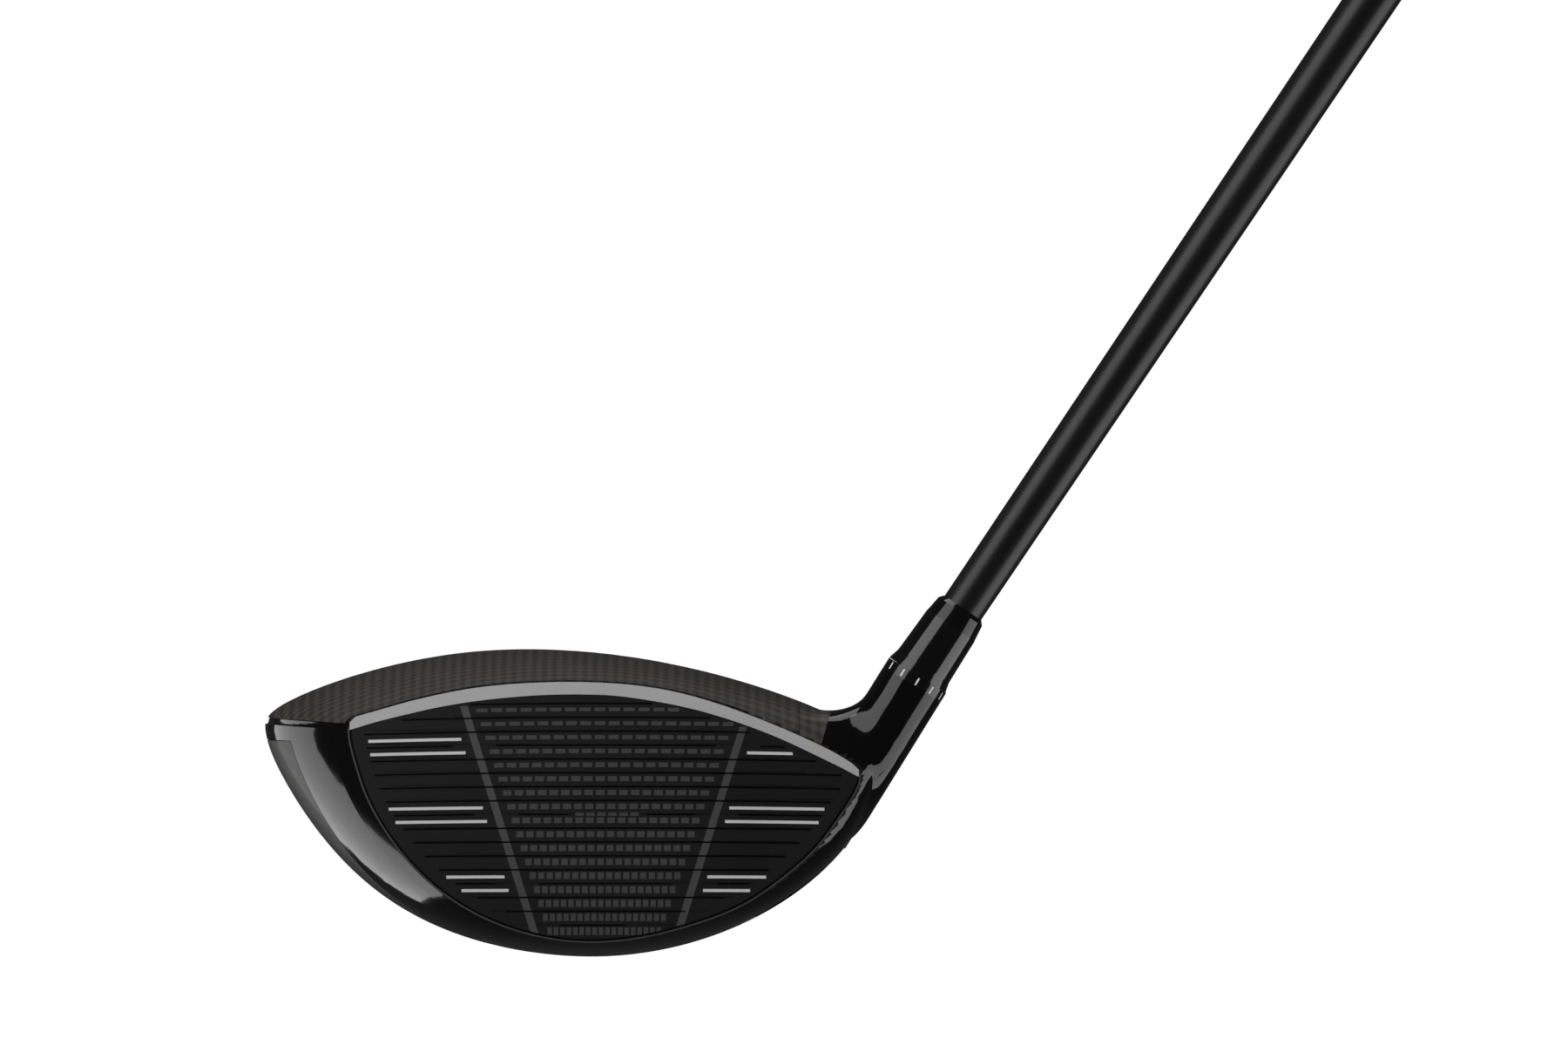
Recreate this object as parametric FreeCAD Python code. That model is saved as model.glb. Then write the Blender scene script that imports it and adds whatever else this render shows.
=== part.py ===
import FreeCAD, Part
from FreeCAD import Vector
import math
import os

# Golf driver, right handed, in mm.  X runs from toe (-) to heel (+), Y from the
# face back to the tail, Z up.  The sole touches the ground at Z = 0 and the
# leading edge of the face is at X = 0, Y = 0.

# ---- face ----
LOFT = math.radians(10.5)
BULGE_R = 305.0
ROLL_R = 300.0
FACE_MID_Z = 30.0
FACE_MID_Y = 3.74
FACE_T = 3.0
# ---- head form ----
Y_MID = 45.0
Y_TAIL = 115.0
X_TAIL = -2.0
Z_TAIL = 31.0
TOE_X = -71.7
TOE_SEAM_Z = 48.6
HEEL_X = 57.5
HEEL_SEAM_Z = 42.0
CROWN_X = -17.0
CROWN_Z = 64.3
SOLE_X = -3.0
TAIL_ANGLE = math.radians(88.0)
SKIN_T = 2.2
PANEL_T = 1.0
# ---- hosel ----
HOSEL_LIE = math.radians(58.2)
SHAFT_LIE = math.radians(56.1)
HOSEL_TOP = Vector(64.0, 20.0, 57.0)
HOSEL_R = 7.05
AXES_CROSS = Vector(64.6, 20.0, 58.1)
STEM_DEPTH = 34.0
STEM_R = 5.6
ROOT_R = 5.0
INSERT_BORE_R = 5.65
INSERT_R = 6.25
TICKS = 12
RING_H = 2.3
SHOULDER_END = 3.4
TAPER_END = 13.6
FERRULE_END = 18.0
TIP_R = 4.25
SHAFT_LOW_R = 4.6
SHAFT_MID_R = 5.75
SHAFT_MID_UP = 300.0
# ---- shaft and grip ----
CLUB_LENGTH = 1162.0
BUTT_R = 7.6
SHAFT_WALL = 0.9
GRIP_L = 268.0
GRIP_BUTT_R = 13.4
RUN = 0.05

# Outline of the face seen from the front, toe corner over the top to the heel
# corner and back underneath.
FACE_TOP = [(-53.8, 47.6), (-53.5, 48.9), (-52.4, 50.1), (-50.0, 51.0),
            (-42.8, 53.1), (-35.5, 54.9), (-28.2, 56.3), (-19.0, 57.3),
            (-8.0, 57.7), (2.0, 57.4), (11.8, 56.2), (22.8, 53.4),
            (33.7, 49.4), (44.6, 44.6), (49.5, 42.0), (52.2, 40.1),
            (53.2, 38.9), (53.4, 37.7)]
FACE_LOW = [(53.0, 36.0), (51.9, 33.7), (50.0, 30.8), (44.6, 23.4),
            (37.3, 16.8), (30.0, 11.7), (19.1, 7.2), (8.2, 4.4),
            (-2.7, 3.35), (-17.3, 5.4), (-28.2, 9.9), (-39.1, 18.1),
            (-46.4, 27.2), (-50.2, 34.3), (-52.4, 40.8), (-53.4, 44.5)]
GROOVE_PITCH = 2.88
GROOVE_TOP_Z = 53.2
GROOVES = 17


def face_y(x, z):
    up = z - FACE_MID_Z
    y = FACE_MID_Y + up * math.tan(LOFT)
    y += x * x / (2.0 * BULGE_R)
    y += up * up / (2.0 * ROLL_R)
    return y


# ---------------------------------------------------------------- head form
def dense_outline():
    pts = [Vector(x, 0, z) for x, z in FACE_TOP + FACE_LOW]
    curve = Part.BSplineCurve()
    curve.interpolate(Points=pts, PeriodicFlag=True)
    heel = curve.parameter(pts[len(FACE_TOP) - 1])
    first = curve.FirstParameter
    last = curve.LastParameter
    n = 300
    top = []
    low = []
    for i in range(n + 1):
        top.append(curve.value(first + (heel - first) * i / n))
        low.append(curve.value(last + (heel - last) * i / n))
    return measured(top), measured(low)


def measured(points):
    total = 0.0
    lengths = [0.0]
    for a, b in zip(points[:-1], points[1:]):
        total += a.distanceToPoint(b)
        lengths.append(total)
    return [s / total for s in lengths], points


def along(table, f):
    lengths, points = table
    lo = 0
    hi = len(lengths) - 1
    while hi - lo > 1:
        m = (lo + hi) // 2
        if lengths[m] <= f:
            lo = m
        else:
            hi = m
    w = (f - lengths[lo]) / (lengths[hi] - lengths[lo])
    return points[lo] * (1.0 - w) + points[hi] * w


def crown_section(q):
    # q from -90 deg at the toe seam to +90 deg at the heel seam
    t = math.sin(q)
    drop = math.cos(q) * (1.0 - 0.33 * t * t)
    if t < 0:
        x = CROWN_X + (CROWN_X - TOE_X) * t
        return Vector(x, 0, TOE_SEAM_Z + (CROWN_Z - TOE_SEAM_Z) * drop)
    x = CROWN_X + (HEEL_X - CROWN_X) * t
    return Vector(x, 0, HEEL_SEAM_Z + (CROWN_Z - HEEL_SEAM_Z) * drop)


def sole_section(q):
    t = math.sin(q)
    if t < 0:
        depth = math.cos(q) * (1.0 - 0.035 * t * t - 0.37 * t ** 6)
        x = SOLE_X + (SOLE_X - TOE_X) * t
        return Vector(x, 0, TOE_SEAM_Z * (1.0 - depth))
    depth = math.cos(q) * (1.0 - 0.07 * t * t)
    x = SOLE_X + (HEEL_X - SOLE_X) * t
    return Vector(x, 0, HEEL_SEAM_Z * (1.0 - depth))


def section_table(section):
    n = 400
    angles = [math.radians(-90.0 + 180.0 * i / n) for i in range(n + 1)]
    return measured([section(q) for q in angles])


FRONT_TOP, FRONT_LOW = dense_outline()
FRONT = {"crown": FRONT_TOP, "sole": FRONT_LOW}
MID = {"crown": section_table(crown_section), "sole": section_table(sole_section)}


def rib_power(half, f):
    if half == "crown":
        return 2.2 - 0.3 * math.sin(math.pi * f) + 8.0 * f ** 4
    rise = 3.0 * f * f - 2.0 * f ** 3
    return 2.2 + 6.0 * f ** 5 + 2.0 * rise + 1.2 * math.sin(math.pi * f) ** 2


def tail_power(half, f):
    if half == "crown":
        return 1.25
    return 1.25 + 0.75 * math.sin(math.pi * f) ** 2


def skin(half, f, b):
    # f: 0 toe seam .. 1 heel seam;  b: 0 face, 1 widest section, 2 tail
    front = along(FRONT[half], f)
    mid = along(MID[half], f)
    y0 = face_y(front.x, front.z)
    if b <= 1.0:
        fade = (1.0 - b) ** rib_power(half, f)
        x = mid.x + (front.x - mid.x) * fade
        z = mid.z + (front.z - mid.z) * fade
        return Vector(x, y0 + (Y_MID - y0) * b, z)
    turn = (b - 1.0) * TAIL_ANGLE
    c = math.cos(turn)
    x = X_TAIL + (mid.x - X_TAIL) * c
    y = Y_MID + (Y_TAIL - Y_MID) * math.sin(turn)
    return Vector(x, y, Z_TAIL + (mid.z - Z_TAIL) * c ** tail_power(half, f))


def ring_point(k, b):
    # k runs once round the section: 0..1 over the crown, 1..2 back under the sole
    if k <= 1.0:
        return skin("crown", k, b)
    return skin("sole", 2.0 - k, b)


def skin_normal(k, b):
    e = 0.004
    ka = (k - e) % 2.0
    kb = (k + e) % 2.0
    across = ring_point(kb, b) - ring_point(ka, b)
    back = ring_point(k, min(b + e, 2.0)) - ring_point(k, max(b - e, -0.1))
    n = across.cross(back)
    n.normalize()
    return n


def offset_point(k, b, depth):
    p = ring_point(k, b)
    if depth == 0.0:
        return p
    return p - skin_normal(k, b) * depth


def spread(n):
    # fractions of one half section, closer together towards both seams
    out = []
    for i in range(n + 1):
        s = i / n
        out.append(0.35 * s + 0.65 * (1.0 - math.cos(math.pi * s)) / 2.0)
    return out


def stations(first, last):
    full = [-0.08, 0.0, 0.05, 0.11, 0.18, 0.27, 0.38, 0.51, 0.66, 0.82, 1.0]
    full += [1.09, 1.18, 1.27, 1.36, 1.45, 1.54, 1.63, 1.72, 1.8, 1.87, 1.94, 2.0]
    inner = [b for b in full if first + 0.012 < b < last - 0.012]
    return [first] + inner + [last]


def ring_surface(ks, bs, depth):
    rows = []
    for b in bs:
        rows.append([offset_point(k, b, depth) for k in ks])
    s = Part.BSplineSurface()
    s.interpolate(rows)
    return s


def whole_form(depth):
    # closed solid of the head without neck, "depth" inside the outer skin
    half = spread(26)
    ks = half + [2.0 - f for f in half[-2::-1]]
    tail_end = 2.0 if depth < 1.0 else 1.86
    bs = stations(-0.08, tail_end)
    full = ring_surface(ks, bs, depth)
    split = full.parameter(offset_point(1.0, 1.0, depth))[1]
    u0, u1, v0, v1 = full.bounds()
    top = full.copy()
    top.segment(u0, u1, v0, split)
    low = full.copy()
    low.segment(u0, u1, split, v1)
    faces = [top.toShape(), low.toShape()]
    nose_top = top.uIso(u0).toShape()
    nose_low = low.uIso(u0).toShape()
    faces.append(Part.makeRuledSurface(nose_top, nose_low))
    tail_top = top.uIso(u1).toShape()
    tail_low = low.uIso(u1).toShape()
    faces.append(Part.makeRuledSurface(tail_top, tail_low))
    flat = []
    for f in faces:
        flat += f.Faces
    shell = Part.Shell(flat)
    shell.sewShape(0.01)
    return Part.Solid(Part.Shell(shell.Faces))


def skin_surface():
    half = spread(26)
    ks = half + [2.0 - f for f in half[-2::-1]]
    return ring_surface(ks, stations(-0.08, 2.0), 0.0)


def face_surface(gap):
    xs = [-95.0 + 19.0 * i for i in range(11)]
    zs = [-15.0 + 13.0 * i for i in range(8)]
    rows = []
    for x in xs:
        rows.append([Vector(x, face_y(x, z) + gap / math.cos(LOFT), z) for z in zs])
    s = Part.BSplineSurface()
    s.interpolate(rows)
    return s


def behind_face(gap):
    # everything further back than "gap" behind the face surface
    return face_surface(gap).toShape().extrude(Vector(0, 150, 0))

# ---------------------------------------------------------------- hosel neck
HOSEL_UP = Vector(math.cos(HOSEL_LIE), 0, math.sin(HOSEL_LIE))
HOSEL_TOEWARD = Vector(-math.sin(HOSEL_LIE), 0, math.cos(HOSEL_LIE))
SHAFT_UP = Vector(math.cos(SHAFT_LIE), 0, math.sin(SHAFT_LIE))


def hosel_point(down):
    return HOSEL_TOP - HOSEL_UP * down


def shaft_point(up):
    return AXES_CROSS + SHAFT_UP * up


BLEND_R = 16.6                  # radius at which the neck has run out into the crown
BLEND_RISE = 7.0                # how far up the hosel the neck starts to spread
BLEND_FULLNESS = 0.65           # 1 would be a parabola, less is a flatter curve
FRONT_REACH = 8.2               # the neck never passes this far ahead of the hosel axis
BACK_FADE = (75.0, 135.0)       # degrees round from the toe side over which it dies out
FRONT_FADE = (15.0, 130.0)
UNBLENDED_DEPTH = 16.0          # depth below the hosel's top where it enters the head
COLUMN_END_DEPTH = 37.0         # the neck ends inside the head
DIVE_DEPTH = 29.5               # its lower end draws in below this depth on the heel side
NECK_TURNS = 32
# a ring of control points stands this much outside the round surface it makes
ROUND_SCALE = 3.0 / (2.0 + math.cos(2.0 * math.pi / NECK_TURNS))


def depth_of_skin(skin_surface, out, r):
    # depth below the hosel top at which a line beside the hosel axis enters the head
    start = hosel_point(-5.0) + out * r
    ray = Part.LineSegment(start, start - HOSEL_UP * 40.0)
    points = ray.intersectCS(skin_surface)[0]
    if not points:
        return None
    return min(Vector(p.X, p.Y, p.Z).distanceToPoint(start) for p in points) - 5.0


def smooth_min(a, b, k):
    # the lesser of two lengths, rounded over where they are within k of each other
    near = max(k - abs(a - b), 0.0)
    return min(a, b) - near * near / (4.0 * k)


def fade_between(value, full, none):
    # 1 up to "full", 0 from "none" on, smooth in between
    t = min(max((value - full) / (none - full), 0.0), 1.0)
    return 1.0 - t * t * (3.0 - 2.0 * t)


def blend_amount(turn):
    # how far the neck spreads over the crown, by direction round the hosel
    if turn <= 180.0:
        return fade_between(turn, *BACK_FADE)
    return fade_between(360.0 - turn, *FRONT_FADE)


def neck_column(skin_surface, angle):
    # (depth, radius) points down one side of the neck; angle 0 looks toeward
    # along the crown, 90 deg back to the tail
    out = HOSEL_TOEWARD * math.cos(angle) + Vector(0, math.sin(angle), 0)
    amount = blend_amount(math.degrees(angle))
    land_r = HOSEL_R + (BLEND_R - HOSEL_R) * amount
    forward = -math.sin(angle)
    if forward > 0.1:
        land_r = smooth_min(land_r, FRONT_REACH / forward, 2.0)
        amount = (land_r - HOSEL_R) / (BLEND_R - HOSEL_R)
    land_d = UNBLENDED_DEPTH
    slope = 0.0
    if amount > 0.0:
        land_d = depth_of_skin(skin_surface, out, land_r)
        beyond = depth_of_skin(skin_surface, out, land_r + 1.5)
        slope = min(max((beyond - land_d) / 1.5, -0.2), 1.0)
    corner_d = land_d - slope * (land_r - HOSEL_R)
    start_d = corner_d - BLEND_RISE * (0.25 + 0.75 * amount)
    points = [(start_d * s, HOSEL_R) for s in (0.0, 0.3, 0.6, 0.85, 1.0)]
    w = 2.0 * BLEND_FULLNESS
    for i in range(1, 10):
        t = i / 9.0
        k0 = (1.0 - t) ** 2
        k1 = w * t * (1.0 - t)
        k2 = t * t
        total = k0 + k1 + k2
        d = (k0 * start_d + k1 * corner_d + k2 * land_d) / total
        r = (k0 * HOSEL_R + k1 * HOSEL_R + k2 * land_r) / total
        points.append((d, r))
    tuck = 1.6 * amount
    points.append((land_d + 0.9 * (slope + 0.7) * amount + 1.2 * (1.0 - amount), land_r + tuck * 0.55))
    first = land_d + 2.4
    for s in (0.0, 0.15, 0.3, 0.45, 0.6, 0.75, 0.88, 1.0):
        points.append((first + (COLUMN_END_DEPTH - first) * s, land_r + tuck * 0.8))
    heelward = (1.0 - math.cos(angle)) / 2.0
    column = []
    for d, r in points:
        dive = max(d - DIVE_DEPTH, 0.0)
        r -= 0.035 * heelward * dive * dive
        column.append(hosel_point(d) + out * (r * ROUND_SCALE))
    return column


def neck(skin_surface):
    # closed solid of the hosel neck, spreading into the crown where it meets it;
    # the points are control points of a smooth surface that is closed round the hosel
    columns = [neck_column(skin_surface, 2.0 * math.pi * i / NECK_TURNS) for i in range(NECK_TURNS)]
    rows = [[column[j] for column in columns] for j in range(len(columns[0]))]
    side = Part.BSplineSurface()
    spans = len(rows) - 3
    down_knots = [float(i) for i in range(spans + 1)]
    down_mults = [4] + [1] * (spans - 1) + [4]
    round_knots = [float(i) for i in range(NECK_TURNS + 1)]
    round_mults = [1] * (NECK_TURNS + 1)
    side.buildFromPolesMultsKnots(rows, down_mults, round_mults, down_knots, round_knots,
                                  False, True, 3, 3)
    u0, u1, v0, v1 = side.bounds()
    faces = [side.toShape()]
    faces.append(Part.Face(Part.Wire([side.uIso(u0).toShape()])))
    faces.append(Part.Face(Part.Wire([side.uIso(u1).toShape()])))
    shell = Part.Shell(faces)
    shell.sewShape(0.01)
    return Part.Solid(Part.Shell(shell.Faces))



# ---------------------------------------------------------------- solids
def rod(start, direction, length, r):
    return Part.makeCylinder(r, length, start, direction)


def cone(start, direction, length, r0, r1):
    return Part.makeCone(r0, r1, length, start, direction)


def merged(solids):
    out = solids[0].fuse(solids[1:])
    return out.removeSplitter()


def patch(k0, k1, b0, b1, top, bottom):
    # part of the skin between two depths, over a range of the section and length
    ks = [k0 + (k1 - k0) * f for f in spread(22)]
    bs = stations(b0, b1)
    outer = ring_surface(ks, bs, top)
    inner = ring_surface(ks, bs, bottom)
    faces = [outer.toShape(), inner.toShape()]
    u0, u1, v0, v1 = outer.bounds()
    for u in (u0, u1):
        faces.append(Part.makeRuledSurface(outer.uIso(u).toShape(), inner.uIso(u).toShape()))
    for v in (v0, v1):
        faces.append(Part.makeRuledSurface(outer.vIso(v).toShape(), inner.vIso(v).toShape()))
    flat = []
    for f in faces:
        flat += f.Faces
    shell = Part.Shell(flat)
    shell.sewShape(0.01)
    solid = Part.Solid(Part.Shell(shell.Faces))
    if solid.Volume < 0:
        solid.reverse()
    return solid


CROWN_PATCH = (0.012, 0.952, 0.022, 1.93)
TOE_PATCH = (1.60, 1.980, 0.42, 1.80)
HEEL_PATCH = (1.10, 1.40, 0.56, 1.80)
GAP = 0.12
NEAR_HOSEL_R = 17.6


def panel(area):
    k0, k1, b0, b1 = area
    return patch(k0, k1, b0, b1, 0.0, PANEL_T)


def panel_seat(area):
    k0, k1, b0, b1 = area
    return patch(k0 - 0.001, k1 + 0.001, b0 - 0.004, b1 + 0.003, -1.5, PANEL_T)


def panel_window(area, edge_k, edge_b):
    k0, k1, b0, b1 = area
    return patch(k0 + edge_k, k1 - edge_k, b0 + edge_b, b1 - 0.12, -1.5, SKIN_T + 1.5)


# ---- sole hardware places ----
REAR_TILT = math.radians(37.0)
FRONT_AXIS = Vector(0, 0, 1)
REAR_AXIS = Vector(0, -math.sin(REAR_TILT), math.cos(REAR_TILT))
FRONT_BASE = Vector(-3.0, 33.0, 0.0)
REAR_BASE = Vector(-2.0, 97.0, 17.5)
WEIGHT_R = 9.0
PORT_R = 11.5
WEIGHT_H = 4.6
SCREW_R = 2.5
SCREW_HEAD_R = 3.6


def weight_port(base, axis, form):
    # cup that carries the weight, with a post bored for the screw
    cup = rod(base - axis * 6.0, axis, 6.0 + WEIGHT_H + 2.0, PORT_R)
    cup = cup.common(form)
    pocket = rod(base - axis * 9.0, axis, 9.0 + WEIGHT_H, WEIGHT_R + RUN)
    post = rod(base + axis * WEIGHT_H, axis, 10.0, 4.6)
    bore = rod(base - axis, axis, WEIGHT_H + 9.0, SCREW_R + RUN)
    return merged([cup, post]).cut(pocket).cut(bore)


def weight(base, axis):
    disc = rod(base - axis * 3.0, axis, WEIGHT_H + 2.98, WEIGHT_R)
    disc = disc.common(whole_form(0.3))
    hole = rod(base - axis, axis, WEIGHT_H + 2.0, SCREW_R + 0.3)
    head = rod(base - axis * 4.0, axis, 4.0 + 2.9, SCREW_HEAD_R + 0.3)
    return disc.cut(hole).cut(head)


def weight_screw(base, axis):
    head = rod(base + axis * 0.7, axis, 2.18, SCREW_HEAD_R)
    shank = rod(base + axis * 2.8, axis, WEIGHT_H + 4.0, SCREW_R)
    return merged([head, shank]).cut(star_socket(base + axis * 0.7, axis, 1.4))


def star_socket(base, axis, depth):
    # six-lobed key recess
    side = Vector(1, 0, 0)
    side = side - axis * side.dot(axis)
    side.normalize()
    other = axis.cross(side)
    cuts = [rod(base - axis * 0.5, axis, depth + 0.5, 1.45)]
    for i in range(6):
        a = math.radians(60.0 * i)
        spot = base + side * (1.45 * math.cos(a)) + other * (1.45 * math.sin(a))
        cuts.append(rod(spot - axis * 0.5, axis, depth + 0.5, 0.42))
    return cuts[0].fuse(cuts[1:])


# ---- hosel stack, measured down the hosel axis from its top ----
TOWER_R = 7.25
BORE_END = 36.5
SEAT_DOWN = 40.0
HEAD_TOP_DOWN = 41.2
RETAINER_T = 0.6
BOLT_TOP_DOWN = 27.5
PORT_BORE_R = 5.2
BOLT_R = 2.0
BOLT_HEAD_R = 3.9
BOLT_HEAD_H = 4.0
TOOTH_DOWN = 26.0
TOOTH_LENGTH = 7.0


def down_rod(first, last, r):
    return rod(hosel_point(last), HOSEL_UP, last - first, r)


def hosel_bores():
    cuts = [down_rod(-2.0, BORE_END, INSERT_R)]
    cuts.append(down_rod(BORE_END - 1.0, SEAT_DOWN + 1.0, BOLT_R + 0.35))
    cuts.append(down_rod(SEAT_DOWN, 80.0, PORT_BORE_R))
    return cuts


def spline_teeth(r_in, r_out, first, last, width, shift):
    # twelve straight ribs round the hosel axis
    teeth = []
    for i in range(TICKS):
        rib = Part.makeBox(r_out - r_in, width, last - first)
        rib.translate(Vector(r_in, -width / 2.0, 0))
        rib.rotate(Vector(0, 0, 0), Vector(0, 0, 1), 30.0 * i + shift)
        rib.rotate(Vector(0, 0, 0), Vector(0, 1, 0), 90.0 - math.degrees(HOSEL_LIE))
        rib.translate(hosel_point(last))
        teeth.append(rib)
    return teeth


def hosel_insert():
    tube = down_rod(0.3, BORE_END, INSERT_R).cut(down_rod(-1.0, BORE_END + 1.0, INSERT_BORE_R))
    ribs = spline_teeth(ROOT_R + 0.12, INSERT_BORE_R + 0.2, TOOTH_DOWN, TOOTH_DOWN + 6.0, 1.1, 15.0)
    return merged([tube] + ribs)


def loft_sleeve():
    stem = down_rod(-1.0, TOOTH_DOWN, STEM_R)
    lower = down_rod(TOOTH_DOWN - 1.0, STEM_DEPTH, ROOT_R)
    teeth = spline_teeth(ROOT_R - 0.5, STEM_R, TOOTH_DOWN - 0.5, TOOTH_DOWN + TOOTH_LENGTH, 1.2, 0.0)
    ring = down_rod(-RING_H, -0.02, HOSEL_R)
    shoulder = cone(shaft_point(0.9), SHAFT_UP, SHOULDER_END - 0.9, 7.0, 6.36)
    taper = cone(shaft_point(SHOULDER_END), SHAFT_UP, TAPER_END - SHOULDER_END, 6.36, 5.98)
    whole = merged([stem, lower, ring, shoulder, taper] + teeth)
    bore = rod(shaft_point(-26.0), SHAFT_UP, 60.0, TIP_R + 0.02)
    thread = down_rod(BOLT_TOP_DOWN - 0.8, STEM_DEPTH + 1.0, BOLT_R + 0.04)
    marks = tick_marks()
    seat = down_rod(-0.45, 0.5, HOSEL_R - 0.35).cut(down_rod(-1.0, 1.0, STEM_R + 0.15))
    whole = whole.cut(bore).cut(thread).cut(seat)
    for m in marks:
        whole = whole.cut(m)
    return whole


def tick_marks():
    # engraved index lines round the ring of the sleeve
    return spline_teeth(HOSEL_R - 0.12, HOSEL_R + 0.5, -RING_H + 0.35, -0.35, 0.38, 4.5)


def sleeve_washer():
    return down_rod(-0.42, 0.0, HOSEL_R - 0.4).cut(down_rod(-1.0, 1.0, STEM_R + 0.2))


def ferrule():
    start = shaft_point(TAPER_END)
    body = cone(start, SHAFT_UP, FERRULE_END - TAPER_END - 0.9, 5.93, 5.48)
    lip = cone(shaft_point(FERRULE_END - 0.9), SHAFT_UP, 0.9, 5.48, 4.72)
    hole = rod(start - SHAFT_UP, SHAFT_UP, 9.0, shaft_radius(FERRULE_END) + 0.01)
    return merged([body, lip]).cut(hole)


SHAFT_START = -25.5


def shaft_end():
    # distance from the crossing of the axes to the butt of the club
    ground = AXES_CROSS.z / math.sin(SHAFT_LIE)
    return CLUB_LENGTH - ground


def shaft_radius(up):
    # outside radius of the shaft "up" from the crossing of the axes
    if up <= TAPER_END:
        return TIP_R
    if up <= SHAFT_MID_UP:
        return SHAFT_LOW_R + (SHAFT_MID_R - SHAFT_LOW_R) * (up - TAPER_END) / (SHAFT_MID_UP - TAPER_END)
    end = shaft_end() - 3.0
    return SHAFT_MID_R + (BUTT_R - SHAFT_MID_R) * (up - SHAFT_MID_UP) / (end - SHAFT_MID_UP)


def shaft():
    end = shaft_end() - 3.0
    tip = rod(shaft_point(SHAFT_START), SHAFT_UP, TAPER_END - SHAFT_START, TIP_R)
    low = cone(shaft_point(TAPER_END), SHAFT_UP, SHAFT_MID_UP - TAPER_END, SHAFT_LOW_R, SHAFT_MID_R)
    high = cone(shaft_point(SHAFT_MID_UP), SHAFT_UP, end - SHAFT_MID_UP, SHAFT_MID_R, BUTT_R)
    tip_hole = rod(shaft_point(SHAFT_START - 1.0), SHAFT_UP, TAPER_END - SHAFT_START + 2.0, 2.9)
    low_core = cone(shaft_point(TAPER_END + 0.9), SHAFT_UP, SHAFT_MID_UP - TAPER_END - 0.9,
                    2.9, SHAFT_MID_R - SHAFT_WALL)
    high_core = cone(shaft_point(SHAFT_MID_UP), SHAFT_UP, end - SHAFT_MID_UP,
                     SHAFT_MID_R - SHAFT_WALL, BUTT_R - SHAFT_WALL)
    return merged([tip, low, high]).cut(tip_hole).cut(low_core).cut(high_core)


def tip_plug():
    return rod(shaft_point(SHAFT_START + 0.5), SHAFT_UP, 8.0, 2.9)


TAPE_T = 0.25


def grip_tape():
    first = shaft_end() - GRIP_L + 6.0
    last = shaft_end() - 3.0
    outer = cone(shaft_point(first), SHAFT_UP, last - first,
                 shaft_radius(first) + TAPE_T, shaft_radius(last) + TAPE_T)
    inner = cone(shaft_point(first), SHAFT_UP, last - first,
                 shaft_radius(first), shaft_radius(last))
    return outer.cut(inner)


def grip():
    first = shaft_end() - GRIP_L
    last = shaft_end() - 3.0
    profile = [(0.0, 9.1), (1.2, 9.9), (60.0, 10.6), (140.0, 11.6), (220.0, 12.7), (GRIP_L - 3.0, 13.2)]
    pts = [Vector(r, 0, z) for z, r in profile]
    curve = Part.BSplineCurve()
    curve.interpolate(pts[1:])
    top = pts[-1]
    edges = [Part.makeLine(Vector(0, 0, 0), pts[0]), Part.makeLine(pts[0], pts[1]), curve.toShape()]
    edges.append(Part.makeLine(top, Vector(0, 0, top.z)))
    edges.append(Part.makeLine(Vector(0, 0, top.z), Vector(0, 0, 0)))
    body = Part.Face(Part.Wire(edges)).revolve(Vector(0, 0, 0), Vector(0, 0, 1), 360.0)
    body = body.Solids[0] if body.Solids else Part.Solid(body)
    body.rotate(Vector(0, 0, 0), Vector(0, 1, 0), 90.0 - math.degrees(SHAFT_LIE))
    body.translate(shaft_point(first))
    join = first + 6.0
    core = cone(shaft_point(join), SHAFT_UP, last - join,
                shaft_radius(join) + TAPE_T, shaft_radius(last) + TAPE_T)
    mouth = cone(shaft_point(first - 1.0), SHAFT_UP, 7.0,
                 shaft_radius(first - 1.0), shaft_radius(join))
    return body.cut(core).cut(mouth)


def grip_cap():
    last = shaft_end() - 3.0
    disc = rod(shaft_point(last), SHAFT_UP, 1.2, GRIP_BUTT_R - 0.2)
    dome = cone(shaft_point(last + 1.2), SHAFT_UP, 1.8, GRIP_BUTT_R - 0.2, GRIP_BUTT_R - 2.2)
    plug = rod(shaft_point(last - 5.0), SHAFT_UP, 5.5, BUTT_R - SHAFT_WALL - 0.35)
    vent = rod(shaft_point(last - 9.0), SHAFT_UP, 20.0, 1.5)
    return merged([disc, dome, plug]).cut(vent)


# ---- bolt, retainer and washer ----
def bolt_retainer():
    ring = down_rod(SEAT_DOWN, SEAT_DOWN + RETAINER_T, PORT_BORE_R)
    return ring.cut(down_rod(SEAT_DOWN - 1.0, SEAT_DOWN + 2.0, BOLT_R + 0.35))


def bolt_washer():
    ring = down_rod(SEAT_DOWN + RETAINER_T + 0.02, HEAD_TOP_DOWN, BOLT_HEAD_R + 0.5)
    return ring.cut(down_rod(SEAT_DOWN, SEAT_DOWN + 3.0, BOLT_R + 0.2))


def sleeve_bolt():
    head = down_rod(HEAD_TOP_DOWN + 0.02, HEAD_TOP_DOWN + BOLT_HEAD_H, BOLT_HEAD_R)
    shank = down_rod(BOLT_TOP_DOWN, HEAD_TOP_DOWN + 1.0, BOLT_R)
    key = star_socket(hosel_point(HEAD_TOP_DOWN + BOLT_HEAD_H), HOSEL_UP, 2.4)
    return merged([head, shank]).cut(key)


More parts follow.
